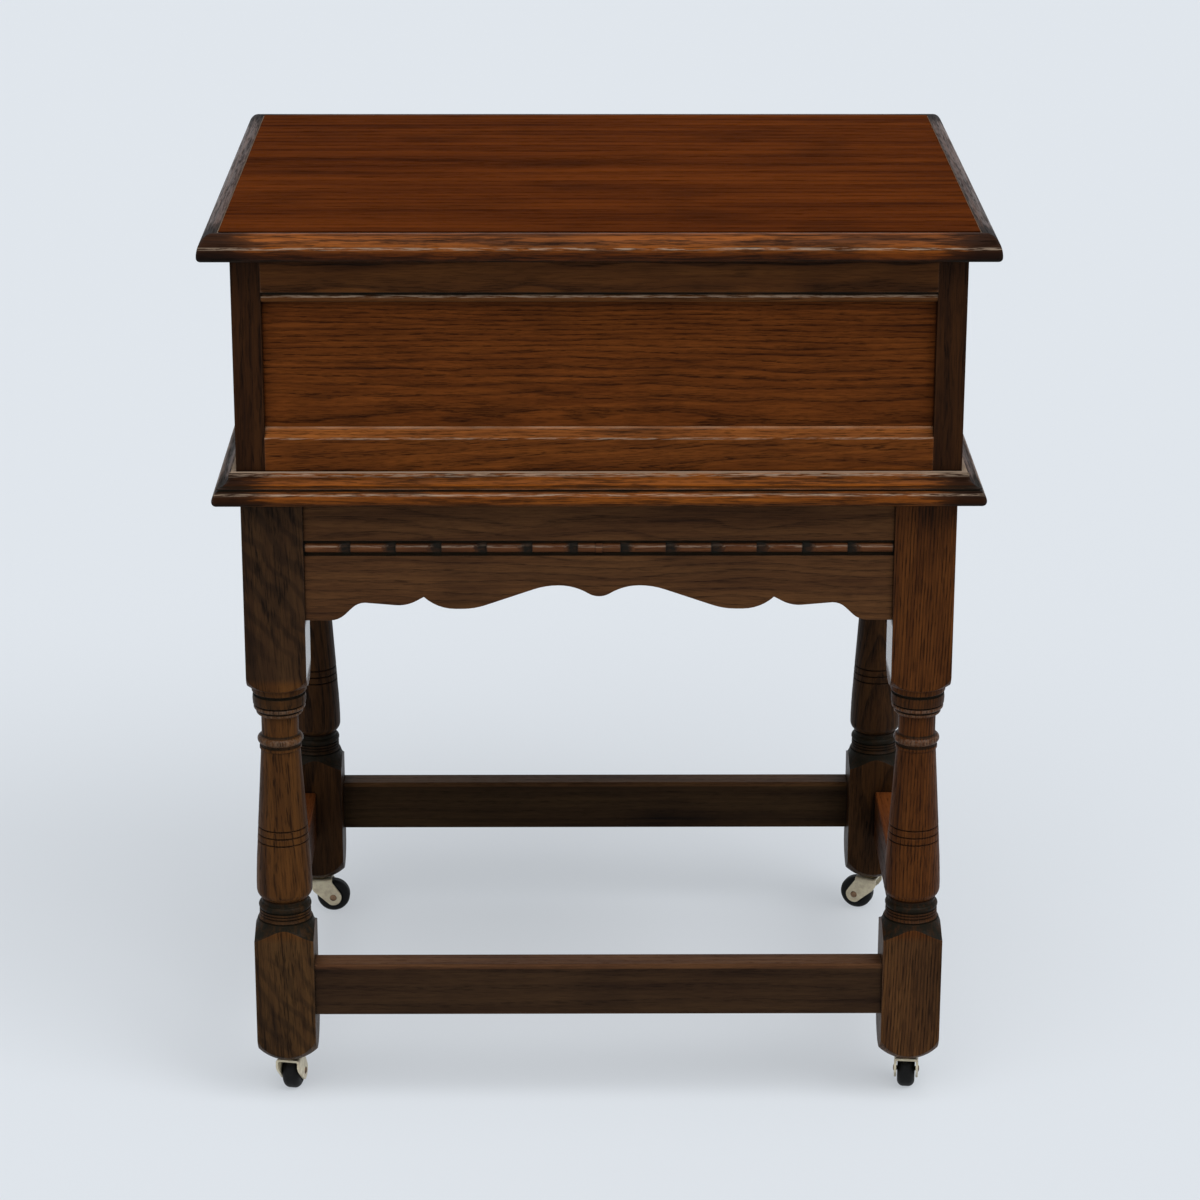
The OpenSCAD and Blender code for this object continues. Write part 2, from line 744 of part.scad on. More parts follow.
module own_knuckles(up, extra) {
    for (i = [0 : knuckles - 1])
        if (i % 2 == up)
            translate([-hinge_l / 2 + i * knuckle_l + (up == 1 ? 0.2 : 0) - extra / 3, axis_y, axis_z])
                rotate([0, 90, 0])
                    cylinder(h = knuckle_l - (up == 1 ? 0.4 : 0) + 2 * extra / 3, r = knuckle_r + extra);
}

module hinge_box_leaves() { color("#8a7440") hinge_pair() hinge_leaf(0); }
module hinge_lid_leaves() { color("#8a7440") hinge_pair() hinge_leaf(1); }
module hinge_pins() {
    color("#6d5a33")
        hinge_pair()
            translate([0, axis_y, axis_z])
                rotate([0, 90, 0])
                    cylinder(h = hinge_l, r = pin_r, center = true);
}
module hinge_box_screws() { color("#6d5a33") hinge_pair() screw_places(rim_z) screw(); }
module hinge_lid_screws() { color("#6d5a33") hinge_pair() screw_places(lid_z) mirror([0, 0, 1]) screw(); }

// Castors

module castor_sockets() {
    color("#4e4127")
        for (corner = CORNERS)
            on_corner(corner, leg_x, leg_y)
                rotate_extrude()
                    polygon([
                        [stem_r + turn_gap, collar_z], [collar_r - 0.5, collar_z], [collar_r, collar_z + 0.5],
                        [collar_r, leg_z - 0.5], [collar_r - 0.5, leg_z], [socket_r, leg_z],
                        [socket_r, leg_z + socket_l], [0, leg_z + socket_l], [0, leg_z + socket_l - 1.5],
                        [stem_r + turn_gap, leg_z + socket_l - 1.5]
                    ]);
}

function yaw(corner) =
    corner == "front_left" ? yaw_front_left :
    corner == "front_right" ? yaw_front_right :
    corner == "rear_left" ? yaw_rear_left : yaw_rear_right;

// Puts something drawn about the swivel axis, with the wheel towards +X, on a corner
module at_castor(corner) {
    index = search([corner], CORNERS)[0];
    translate([index % 2 == 0 ? -leg_x : leg_x, index < 2 ? -leg_y : leg_y, 0])
        rotate([0, 0, yaw(corner)])
            children();
}

// Side of the horn as [forwards, up]: a flat crown that narrows to a boss round the axle
function horn_side() = concat(
    [[crown_fore - crown_l / 2, crown_z + horn_t], [crown_fore + crown_l / 2, crown_z + horn_t]],
    [[crown_fore + crown_l / 2, crown_z - 1]],
    arc([trail, wheel_r], boss_r, 25, -115, 10),
    [[crown_fore - crown_l / 2 + 2.5, crown_z - 9], [crown_fore - crown_l / 2, crown_z - 5]]
);

// Section of the horn across the wheel, with round shoulders
module horn_section(w, top, r) {
    translate([-w / 2, 0]) square([w, top - r]);
    translate([r - w / 2, 0]) square([w - 2 * r, top]);
    for (side = [-1, 1])
        translate([side * (w / 2 - r), top - r]) circle(r, $fn = 32);
}

module castor_horn(corner) {
    color("#cfc5a4")
        at_castor(corner)
            difference() {
                union() {
                    intersection() {
                        translate([-crown_l, 0, 0])
                            rotate([90, 0, 90])
                                linear_extrude(3 * crown_l)
                                    difference() {
                                        horn_section(horn_w, crown_z + horn_t, 2.5);
                                        horn_section(horn_w - 2 * horn_t, crown_z, 1);
                                    }
                        translate([0, horn_w, 0])
                            rotate([90, 0, 0])
                                linear_extrude(2 * horn_w)
                                    polygon(horn_side());
                    }
                    translate([0, 0, crown_z + horn_t / 2]) cylinder(h = stem_l - collar_h, r = stem_r);
                }
                translate([trail, 0, wheel_r])
                    rotate([90, 0, 0])
                        cylinder(h = 2 * horn_w, r = axle_r + turn_gap, center = true);
            }
}

module castor_axle(corner) {
    color("#6a4f33")
        at_castor(corner)
            translate([trail, 0, wheel_r])
                rotate([90, 0, 0])
                    rotate_extrude()
                        polygon(concat(
                            [[0, -horn_w / 2 - head_t], [head_r / 2, -horn_w / 2 - head_t], [head_r, -horn_w / 2]],
                            [[axle_r, -horn_w / 2], [axle_r, horn_w / 2]],
                            [[head_r, horn_w / 2], [head_r / 2, horn_w / 2 + head_t], [0, horn_w / 2 + head_t]]
                        ));
}

// Half section of a wheel as [radius, across], with a rounded tread and dished sides
function wheel_section() = let (edge = wheel_w / 2, hub = axle_r + 2, rim = wheel_r - tread_r) concat(
    [[axle_r + turn_gap, -edge], [hub, -edge], [hub + 0.6, 0.8 - edge], [rim - 1.6, 0.8 - edge]],
    [[rim - 1, -edge], [rim, -edge]],
    arc([rim, tread_r - edge], tread_r, -90, -8, 7),
    arc([rim, edge - tread_r], tread_r, 8, 90, 7),
    [[rim - 1, edge], [rim - 1.6, edge - 0.8], [hub + 0.6, edge - 0.8], [hub, edge]],
    [[axle_r + turn_gap, edge]]
);

module castor_wheel(corner) {
    color("#1c1b19")
        at_castor(corner)
            translate([trail, 0, wheel_r])
                rotate([90, 0, 0])
                    rotate_extrude()
                        polygon(wheel_section());
}

for (corner = CORNERS) {
    leg(corner);
    corner_post(corner);
    castor_horn(corner);
    castor_axle(corner);
    castor_wheel(corner);
}
for (side = SIDES) {
    apron(side);
    stretcher(side);
    plinth_moulding(side);
    top_rail(side);
    bottom_rail(side);
    box_panel(side);
    lid_moulding(side);
}
base_board();
lid_panel();
hinge_box_leaves();
hinge_lid_leaves();
hinge_pins();
hinge_box_screws();
hinge_lid_screws();
castor_sockets();
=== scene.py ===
import math

import bpy
import numpy as np
from bpy.props import FloatProperty, FloatVectorProperty, PointerProperty
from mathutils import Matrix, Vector


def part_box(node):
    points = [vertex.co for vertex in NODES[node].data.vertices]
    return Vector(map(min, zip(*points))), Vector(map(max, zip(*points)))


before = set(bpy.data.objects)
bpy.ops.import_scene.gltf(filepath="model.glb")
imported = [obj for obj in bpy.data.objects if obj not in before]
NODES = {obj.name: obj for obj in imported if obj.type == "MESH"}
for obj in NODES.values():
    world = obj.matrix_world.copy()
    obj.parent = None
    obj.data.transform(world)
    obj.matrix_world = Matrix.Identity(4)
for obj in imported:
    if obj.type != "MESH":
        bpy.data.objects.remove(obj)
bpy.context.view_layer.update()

bl_info = {
    "name": "Lift-Lid Oak Table",
    "version": (1, 0, 0),
    "blender": (4, 5, 0),
    "location": "View3D > Sidebar > Oak Table",
    "description": "Oak, brass and enamel finishes and the studio for a lift-lid table on castors",
    "category": "Object",
}

CORNERS = ("front_left", "front_right", "rear_left", "rear_right")
SIDES = ("front", "right", "rear", "left")
SIDE_GRAIN = {"front": "x", "right": "y", "rear": "x", "left": "y"}


# Shader maths

class Value:
    """A number in a shader. Arithmetic on it adds the Math nodes that work it out."""

    def __init__(self, tree, socket):
        self.tree = tree
        self.socket = socket

    def math(self, operation, *others, clamp=False):
        """Another number, worked out from this one and any others by a Math node."""
        settings = {"operation": operation, "use_clamp": clamp}
        return self.tree.add("ShaderNodeMath", settings, dict(enumerate((self,) + others)))

    def __add__(self, other):
        return self.math("ADD", other)

    def __radd__(self, other):
        return self.math("ADD", other)

    def __sub__(self, other):
        return self.math("SUBTRACT", other)

    def __rsub__(self, other):
        return self.tree.add("ShaderNodeMath", {"operation": "SUBTRACT"}, {0: other, 1: self})

    def __mul__(self, other):
        return self.math("MULTIPLY", other)

    def __rmul__(self, other):
        return self.math("MULTIPLY", other)

    def __truediv__(self, other):
        return self.math("DIVIDE", other)

    def clamped(self):
        """The same number, held between 0 and 1."""
        return self.math("ADD", 0.0, clamp=True)

    def between(self, low, high):
        """0 below low, 1 above high and smooth between them."""
        return self.tree.add(
            "ShaderNodeMapRange",
            {"interpolation_type": "SMOOTHSTEP", "clamp": True},
            {"Value": self, "From Min": low, "From Max": high},
        )


class Tree:
    """A node tree, and the means to add nodes to it."""

    def __init__(self, tree):
        self.nodes = tree.nodes
        self.links = tree.links

    def put(self, socket, value):
        """Joins a value to a socket or sets the socket to a number, a vector or a colour."""
        if isinstance(value, Value):
            self.links.new(value.socket, socket)
        elif isinstance(value, tuple) and len(value) == 3 and len(socket.default_value) == 4:
            socket.default_value = (*value, 1.0)
        else:
            socket.default_value = value

    def add(self, kind, settings=None, sockets=None, out=0):
        """Adds a node and returns one of its outputs."""
        node = self.nodes.new(kind)
        for key, value in (settings or {}).items():
            setattr(node, key, value)
        for key, value in (sockets or {}).items():
            self.put(node.inputs[key], value)
        return Value(self, node.outputs[out])

    def mix(self, share, first, second, blend="MIX"):
        """Colour between first and second, or second laid over first with a blend."""
        settings = {"data_type": "RGBA", "blend_type": blend}
        return self.add("ShaderNodeMix", settings, {0: share, 6: first, 7: second}, out=2)

    def vector(self, operation, *values, out=0):
        """A Vector Math node on one or more vectors."""
        return self.add("ShaderNodeVectorMath", {"operation": operation}, dict(enumerate(values)), out)

    def place(self, turn=(0, 0, 0)):
        """Object coordinates, turned so that the grain runs along Z."""
        at = self.add("ShaderNodeTexCoord", out="Object")
        return self.add("ShaderNodeMapping", {"vector_type": "POINT"}, {"Vector": at, "Rotation": turn})

    def stretched(self, at, across, along):
        """Coordinates with features across and along the grain of the given sizes in metres."""
        return self.vector("MULTIPLY", at, (1 / across, 1 / across, 1 / along))

    def noise(self, at, detail=2.0, rough=0.5):
        """Noise from 0 to 1 with its middle near 0.5."""
        sockets = {"Vector": at, "Scale": 1.0, "Detail": detail, "Roughness": rough}
        return self.add("ShaderNodeTexNoise", {"noise_dimensions": "3D"}, sockets, out="Fac")

    def axis(self, at, name):
        """One coordinate of a place."""
        return self.add("ShaderNodeSeparateXYZ", None, {0: at}, out=name)

    def occlusion(self, reach, inside=False, local=False):
        """1 in the open and less in corners, or less near sharp edges when taken inside."""
        return self.add(
            "ShaderNodeAmbientOcclusion",
            {"samples": 6, "inside": inside, "only_local": local},
            {"Distance": reach},
            out="AO",
        )

    def background_ray(self):
        """1 for the camera and for rays from gloss and glass, 0 for light that falls on the table."""
        rays = (self.add("ShaderNodeLightPath", out=name)
                for name in ("Is Camera Ray", "Is Glossy Ray", "Is Transmission Ray"))
        return sum(rays).clamped()


class Shader(Tree):
    """A new material with one Principled BSDF."""

    def __init__(self, name):
        self.material = bpy.data.materials.new(name)
        self.material.use_nodes = True
        super().__init__(self.material.node_tree)
        self.surface = self.nodes["Principled BSDF"]

    def finish(self, base, rough, height=None, depth=0.0001, edge=0.0, **constants):
        """Joins colour, roughness and relief to the surface, with edges eased by a small radius."""
        self.put(self.surface.inputs["Base Color"], base)
        self.put(self.surface.inputs["Roughness"], rough)
        normal = None
        if edge:
            normal = self.add("ShaderNodeBevel", {"samples": 4}, {"Radius": edge})
        if height is not None:
            sockets = {"Height": height, "Distance": depth, "Strength": 1.0}
            if normal is not None:
                sockets["Normal"] = normal
            normal = self.add("ShaderNodeBump", None, sockets)
        if normal is not None:
            self.put(self.surface.inputs["Normal"], normal)
        for name, value in constants.items():
            self.surface.inputs[name.replace("_", " ")].default_value = value
        return self.material


def colour(prop):
    """Red, green and blue of a colour property."""
    return tuple(prop)[:3]


# Finishes

# Turns that bring a board's length on to Z, and how far edges are eased in the shading
GRAIN_TURN = {
    "x": (0, -math.pi / 2, 0),
    "y": (math.pi / 2, 0, 0),
    "z": (0, 0, 0),
}
WOOD_EDGE = 0.0008
METAL_EDGE = 0.0004


class Band:
    """Heights between which wood looks different, with soft limits.

    black blackens it, as stain and as painted shade in grooves and recesses, tint multiplies its
    colour, the glint share paints streaks of pale highlight and coat polishes it.
    beads gives the axis, middle, half length and pitch of a row of carved beads, and keeps the band to
    the cuts between them.
    """

    def __init__(self, low, high, black=0.0, tint=None, painted_glint=0.0, coat=0.0, soft=0.0006, beads=None):
        self.low = low
        self.high = high
        self.black = black
        self.tint = tint
        self.painted_glint = painted_glint
        self.coat = coat
        self.soft = soft
        self.beads = beads

    def share(self, shader):
        """1 inside the band and 0 outside it."""
        height = shader.axis(shader.place(), "Z")
        above = height.between(self.low - self.soft, self.low + self.soft)
        below = 1 - height.between(self.high - self.soft, self.high + self.soft)
        if not self.beads:
            return above * below
        axis, middle, half, pitch = self.beads
        along = half - (shader.axis(shader.place(), axis) - middle).math("ABSOLUTE")
        phase = (along / pitch).math("FRACT")
        # Dark at the cuts on either side of each bead
        cut = 1 - phase.between(0.02, 0.06) + phase.between(0.7, 0.88)
        return above * below * cut


def oak(name, grain, seed, tone, pith, ring=0.0035, figure=0.35, wander=0.005,
        streak=0.012, light=0.6, pore=0.0011, open_grain=0.75, gloss=0.42, shine=0.04,
        wear=0.5, polish=0.0, patina=0.0, tilt=0.0, bands=(),
        turned=None, mitred=None, flame=None, sheen=None):
    """Stained oak. The rings are centred on the pith, given across the grain in metres.

    tone multiplies the stain. ring is the width of the growth rings, figure their strength and wander
    how far they stray. streak is the width of the broad streaks and light their share, pore the width
    of the pores and open_grain their darkness. gloss is the roughness and shine the reflection of the
    bare wood. wear rubs the edges pale and polish makes them glint. patina leaves black patches, more
    of them near the corners of a mitred moulding. tilt turns the grain off the board's length.

    turned gives a leg's axis and half its width, and keeps black bands off its flat faces. mitred
    gives the middle and half the size of a moulding's outline, and its width, draws its mitres dark
    and paints a highlight along its inner seam. flame gives two heights, and dark figure crosses the
    wood at a slant below the first and above the second. sheen gives the place along X and the heights
    of a face that has kept its full polish.
    """
    look = bpy.context.scene.oak_table_finish
    s = Shader(name)
    rng = np.random.default_rng(seed)
    shift = tuple(float(v) for v in rng.uniform(-3.0, 3.0, 3))
    turn = tuple(a + b for a, b in zip(GRAIN_TURN[grain], (tilt * 0.6, tilt, 0)))
    at = s.place(turn)
    away = s.vector("ADD", at, shift)

    # Growth rings as distance from the pith, wandering slowly along the board
    drift = s.noise(s.stretched(away, 0.045, 0.2), detail=2.0)
    ripple = s.noise(s.stretched(away, 0.008, 0.06), detail=1.0)
    flat = s.vector("MULTIPLY", s.vector("SUBTRACT", at, (*pith, 0)), (1, 1, 0))
    reach = s.vector("LENGTH", flat, out="Value")
    rings = (reach + (drift - 0.5) * wander + (ripple - 0.5) * 0.0014) / ring
    phase = rings.math("FRACT")
    early = (1 - phase.between(0.0, 0.62)) * phase.between(0.0, 0.1)

    # Open pores as short dark dashes, thickest in the early wood
    dash = s.noise(s.stretched(away, pore, pore * 15), detail=2.0, rough=0.55)
    pores = dash.between(0.5, 0.61) * (0.45 + 0.55 * early)
    fibre = s.noise(s.stretched(away, 0.0019, 0.08), detail=3.0, rough=0.65)
    cloud = s.noise(s.stretched(away, 0.05, 0.1), detail=2.0)
    band = s.noise(s.stretched(away, streak, streak * 16), detail=3.0, rough=0.6)

    # The stain, thin over the late wood and deep in the early wood
    deep, middle, bright = (
        tuple(c * t for c, t in zip(colour(stain), tone))
        for stain in (look.oak_deep, look.oak_middle, look.oak_bright)
    )
    pale = (fibre.between(0.25, 0.8) * (1 - light) + band.between(0.35, 0.7) * light).clamped()
    ground = s.mix(pale, middle, bright)
    dark = early * figure + cloud.between(0.48, 0.8) * 0.4 + (1 - band.between(0.25, 0.42)) * 0.55
    ground = s.mix(dark.clamped(), ground, deep)
    if flame:
        low, high = flame
        slant = s.vector("DOT_PRODUCT", s.place(), (1.0, 0.0, 0.75), out="Value")
        bend = s.noise(s.stretched(away, 0.03, 0.03), detail=2.0)
        wave = ((slant + bend * 0.03) / 0.0023).math("SINE") * 0.5 + 0.5
        height = s.axis(s.place(), "Z")
        ends = 1 - height.between(low - 0.012, low) + height.between(high, high + 0.03)
        ground = s.mix(wave.between(0.35, 0.95) * ends * 0.42, ground, deep)
    ground = s.mix(pores * open_grain, ground, tuple(c * 0.3 for c in deep))

    # Painted shade with wax and dirt in the corners and crevices, polish rubbed through on the edges
    corner = 1 - s.occlusion(0.012)
    crevice = 1 - s.occlusion(0.0028)
    shade_and_grime = ((corner * 0.9 - 0.12).clamped() * 0.7 + crevice.between(0.18, 0.6)).clamped()
    rubbed = (1 - s.occlusion(0.003, inside=True, local=True)).between(0.45, 0.9)
    if wear:
        patchy = s.noise(s.stretched(away, 0.012, 0.04), detail=3.0).between(0.35, 0.65)
        ground = s.mix(rubbed * (0.35 + 0.65 * patchy) * wear, ground, colour(look.oak_worn))
    near_corner = 0.0
    seam = None
    if mitred:
        middle_x, middle_y, half_x, half_y, width = mitred
        x = (s.axis(s.place(), "X") - middle_x).math("ABSOLUTE") - half_x
        y = (s.axis(s.place(), "Y") - middle_y).math("ABSOLUTE") - half_y
        shade_and_grime = (shade_and_grime + 1 - (x - y).math("ABSOLUTE").between(0.0001, 0.0007)).clamped()
        near_corner = x.math("MINIMUM", y).between(-0.05, -0.01)
        seam = 1 - x.math("MAXIMUM", y).between(0.0006 - width, 0.0012 - width)

    # Old dirt and polish left in patches, then what differs from height to height: stain, painted shade
    # and painted highlights
    if patina:
        spots = s.noise(s.stretched(away, 0.0028, 0.05), detail=5.0, rough=0.75)
        spots = (spots + near_corner * 0.2).between(0.47, 0.6)
        shade_and_grime = (shade_and_grime + spots * patina + near_corner * 0.3).clamped()
    # Painted shade in corners and crevices, with the dark mitres and the patches of old dirt, darkens
    # the wood
    ground = s.mix(shade_and_grime * 0.92, ground, tuple(c * 0.18 for c in deep))
    rough = gloss + (1 - fibre) * 0.08 + pores * 0.25 + shade_and_grime * 0.25
    coat = rubbed * polish
    if bands:
        streaky = s.noise(s.stretched(away, 0.0009, 0.018), detail=4.0, rough=0.7)
        streaky = streaky.between(0.44, 0.58)
        spotty = s.noise(s.stretched(away, 0.004, 0.01), detail=3.0)
        spotty = 0.75 + 0.25 * spotty.between(0.35, 0.6)
        for stripe in bands:
            here = stripe.share(s)
            if stripe.tint:
                ground = s.mix(here, ground, stripe.tint, blend="MULTIPLY")
            # Painted highlight: streaks of the pale glint colour
            if stripe.painted_glint:
                ground = s.mix(here * streaky * stripe.painted_glint, ground, colour(look.oak_painted_glint))
            # Black stain, and painted shade where the band lies in a groove, recess or underside
            if stripe.black:
                if turned:
                    axis_x, axis_y, half = turned
                    x = (s.axis(s.place(), "X") - axis_x).math("ABSOLUTE")
                    y = (s.axis(s.place(), "Y") - axis_y).math("ABSOLUTE")
                    here = here * (1 - x.math("MAXIMUM", y).between(half - 0.0002, half - 0.0001))
                ground = s.mix(here * spotty * stripe.black, ground, colour(look.oak_black_and_shade))
            if stripe.coat:
                coat = here * stripe.coat + coat
    if sheen:
        plane, low, high = sheen
        on_face = 1 - (s.axis(s.place(), "X") - plane).math("ABSOLUTE").between(0.0002, 0.0004)
        coat = on_face * Band(low, high, soft=0.004).share(s) + coat
    # Painted highlight along the inner seam of a mitred moulding
    if seam:
        ground = s.mix(seam * 0.6, ground, colour(look.oak_painted_glint))
    if bands or polish:
        s.put(s.surface.inputs["Coat Weight"], coat.clamped())
    return s.finish(
        ground, rough, height=fibre * 0.3 - pores, depth=0.0001, edge=WOOD_EDGE,
        Specular_IOR_Level=shine, Coat_Roughness=0.22,
    )


def metal(name, base, dark, rough):
    """Cast or drawn metal with tarnish in patches and in the corners."""
    s = Shader(name)
    at = s.place()
    spot = 0.004
    patch = s.noise(s.stretched(at, spot, spot), detail=4.0, rough=0.65)
    fine = s.noise(s.stretched(at, spot / 6, spot / 6), detail=2.0)
    corner = (1 - s.occlusion(0.003)) * 1.3
    tarnish = (patch.between(0.42, 0.66) * 0.7 + corner.clamped() * 0.8).clamped()
    ground = s.mix(tarnish, base, dark)
    rough = rough + tarnish * 0.25 + (fine - 0.5) * 0.1
    return s.finish(ground, rough, height=fine, depth=0.00004, edge=METAL_EDGE, Metallic=1.0)


def enamel(name):
    """Cream enamel on pressed steel, chipped to dark metal along its edges."""
    look = bpy.context.scene.oak_table_finish
    s = Shader(name)
    at = s.place()
    patch = s.noise(s.stretched(at, 0.006, 0.006), detail=4.0, rough=0.7)
    chip = s.noise(s.stretched(at, 0.0016, 0.0016), detail=4.0, rough=0.7)
    edge = (1 - s.occlusion(0.0012, inside=True, local=True)).between(0.5, 0.95)
    chipped = (edge * 0.55 + chip * 0.75 + patch * 0.3).between(0.83, 0.9)
    # Dirt and painted shade darkening the corners
    dirt_and_shade = ((1 - s.occlusion(0.004)) * 1.2).clamped()
    ground = s.mix(patch.between(0.35, 0.7), colour(look.enamel), colour(look.enamel_stain))
    ground = s.mix(dirt_and_shade * 0.7, ground, (0.06, 0.045, 0.03))
    ground = s.mix(chipped, ground, (0.05, 0.035, 0.025))
    rough = 0.38 + chipped * 0.3 + dirt_and_shade * 0.2
    return s.finish(ground, rough, height=patch - chipped * 2, depth=0.00005, edge=METAL_EDGE)


def rolled_black(name):
    """Hard black wheel, its tread dulled and dusted by the floor."""
    look = bpy.context.scene.oak_table_finish
    s = Shader(name)
    at = s.place()
    dust = s.noise(s.stretched(at, 0.005, 0.005), detail=5.0, rough=0.7)
    scuff = s.noise(s.stretched(at, 0.0009, 0.0009), detail=3.0)
    ground = s.mix(dust.between(0.5, 0.75) * 0.6, colour(look.wheel_black), colour(look.wheel_dust))
    rough = 0.42 + dust * 0.3
    return s.finish(
        ground, rough, height=scuff, depth=0.00006, edge=METAL_EDGE, Specular_IOR_Level=0.16,
    )


def dress(node, material):
    """Gives a CAD node its finish."""
    slots = NODES[node].data.materials
    slots.clear()
    slots.append(material)
    for face in NODES[node].data.polygons:
        face.material_index = 0


def middle_of(node):
    """Middle of a CAD node's box."""
    low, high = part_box(node)
    return (low + high) / 2


def outline(front, right, width):
    """Middle and half size of a moulding's outline, from its front and right pieces, with its width."""
    x = middle_of(front).x
    y = middle_of(right).y
    return x, y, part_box(front)[1].x - x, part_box(right)[1].y - y, width


# What a user would change

class OAKTABLE_PG_finish(bpy.types.PropertyGroup):
    """Colours and gloss of the table's finishes."""

    oak_deep: FloatVectorProperty(
        name="Oak Deep", description="Stain in the early wood", subtype="COLOR",
        default=(0.022, 0.009, 0.004), min=0, max=1,
    )
    oak_middle: FloatVectorProperty(
        name="Oak Middle", description="Main colour of the stained oak", subtype="COLOR",
        default=(0.085, 0.029, 0.0085), min=0, max=1,
    )
    oak_bright: FloatVectorProperty(
        name="Oak Bright", description="Late wood where the stain is thin", subtype="COLOR",
        default=(0.17, 0.062, 0.016), min=0, max=1,
    )
    oak_worn: FloatVectorProperty(
        name="Oak Worn", description="Edges rubbed through the polish", subtype="COLOR",
        default=(0.3, 0.17, 0.1), min=0, max=1,
    )
    # Colour of the painted highlights laid on arrises, crests and seams
    oak_painted_glint: FloatVectorProperty(
        name="Oak Glint", description="Arrises rubbed down to the pale wood", subtype="COLOR",
        default=(0.42, 0.31, 0.22), min=0, max=1,
    )
    # Black of the stained turnings, also used as painted shade in grooves, recesses, cuts and
    # undersides
    oak_black_and_shade: FloatVectorProperty(
        name="Oak Black", description="Blackened hollows of the turnings", subtype="COLOR",
        default=(0.0075, 0.0065, 0.0038), min=0, max=1,
    )
    enamel: FloatVectorProperty(
        name="Enamel", description="Cream enamel of the castor horns", subtype="COLOR",
        default=(0.8, 0.71, 0.5), min=0, max=1,
    )
    enamel_stain: FloatVectorProperty(
        name="Enamel Stain", description="Yellowed enamel", subtype="COLOR",
        default=(0.6, 0.5, 0.34), min=0, max=1,
    )
    wheel_black: FloatVectorProperty(
        name="Wheel Black", description="Castor wheels", subtype="COLOR",
        default=(0.004, 0.0038, 0.0036), min=0, max=1,
    )
    wheel_dust: FloatVectorProperty(
        name="Wheel Dust", description="Dust on the castor wheels", subtype="COLOR",
        default=(0.012, 0.0105, 0.009), min=0, max=1,
    )


class OAKTABLE_PG_stage(bpy.types.PropertyGroup):
    """The camera, the lamps and the floor."""

    camera_place: FloatVectorProperty(
        name="Camera Place", description="Where the camera stands", subtype="TRANSLATION",
        unit="LENGTH", default=(-0.01936, -2.7126, 1.2693),
    )
    camera_down: FloatProperty(
        name="Camera Down", description="How far the camera looks below the level", subtype="ANGLE",
        default=math.radians(18.901),
    )
    camera_right: FloatProperty(
        name="Camera Right", description="How far the camera looks to the right", subtype="ANGLE",
        default=math.radians(0.43),
    )
    camera_roll: FloatProperty(
        name="Camera Roll", description="Roll of the camera about its view", subtype="ANGLE",
        default=math.radians(-0.078),
    )
    lens: FloatProperty(
        name="Lens", description="Focal length on a 36 mm frame", unit="CAMERA",
        default=109.47, min=20, max=300,
    )
    floor_colour: FloatVectorProperty(
        name="Floor Colour", description="Pale floor and backdrop", subtype="COLOR",
        default=(0.745, 0.785, 0.83), min=0, max=1,
    )
    overhead: FloatProperty(
        name="Overhead Light", description="Strength of the soft light over the table",
        default=1.78, min=0, max=20,
    )
    key_light: FloatProperty(
        name="Key Light", description="Strength of the light from the front right",
        default=0.9, min=0, max=20,
    )
    shadow_lift: FloatProperty(
        name="Shadow Lift", description="Share of the floor's brightness that shadows leave",
        subtype="FACTOR", default=0.54, min=0, max=1,
    )
    room_light: FloatProperty(
        name="Room Light", description="Strength of the light from all round",
        default=0.33, min=0, max=5,
    )


# Heights on a leg above its toe. Height of the beads above an apron's lower end, how many the front
# one has, and half the height of a bead and of its strip

LEG_SHAFT = 0.1052
LEG_BLOCK = LEG_SHAFT + 0.2063
BEADS = 0.0553
BEAD_COUNT = 13
BEAD_HALF = 0.0036
STRIP_HALF = 0.0058

# Widths of the mitred mouldings as far as the seam along their inner edge

PLINTH_WIDTH = 0.014
LID_MOULDING_WIDTH = 0.0148

# The wood of each leg, and its pith across the leg from the axis

LEG_WOOD = {
    "front_left": {
        "tone": (0.61, 0.65, 0.57), "ring": 0.0036, "figure": 0.35, "wander": 0.014, "streak": 0.014,
        "tilt": 0.05,
    },
    "front_right": {
        "tone": (0.62, 0.54, 0.39), "ring": 0.0023, "figure": 0.6, "wander": 0.006, "streak": 0.006,
        "tilt": -0.035,
    },
    "rear_left": {
        "tone": (0.32, 0.37, 0.42), "ring": 0.0036, "figure": 0.6, "wander": 0.014, "streak": 0.006,
        "tilt": 0.03,
    },
    "rear_right": {
        "tone": (0.32, 0.37, 0.42), "ring": 0.0036, "figure": 0.6, "wander": 0.014, "streak": 0.006,
        "tilt": -0.04,
    },
}
LEG_PITH = {
    "front_left": (0.006, 0.05),
    "front_right": (0.15, 0.02),
    "rear_left": (0.01, 0.06),
    "rear_right": (-0.008, 0.07),
}

# Stains of the stretchers

STRETCHER_TONES = {
    "front": (0.285, 0.4, 0.68),
    "right": (0.48, 0.44, 0.44),
    "rear": (0.28, 0.42, 0.66),
    "left": (0.48, 0.44, 0.44),
}


# Operators

class OAKTABLE_OT_camera(bpy.types.Operator):
    """Place the camera at the photograph's angle"""

    bl_idname = "oak_table.camera"
    bl_label = "Camera"

    def execute(self, context):
        stage = context.scene.oak_table_stage
        data = bpy.data.cameras.new("camera")
        data.lens = stage.lens
        data.sensor_width = 36.0
        camera = bpy.data.objects.new("camera", data)
        camera.location = stage.camera_place
        camera.rotation_mode = "XYZ"
        camera.rotation_euler = (
            math.pi / 2 - stage.camera_down, stage.camera_roll, -stage.camera_right
        )
        context.scene.collection.objects.link(camera)
        context.scene.camera = camera
        return {"FINISHED"}


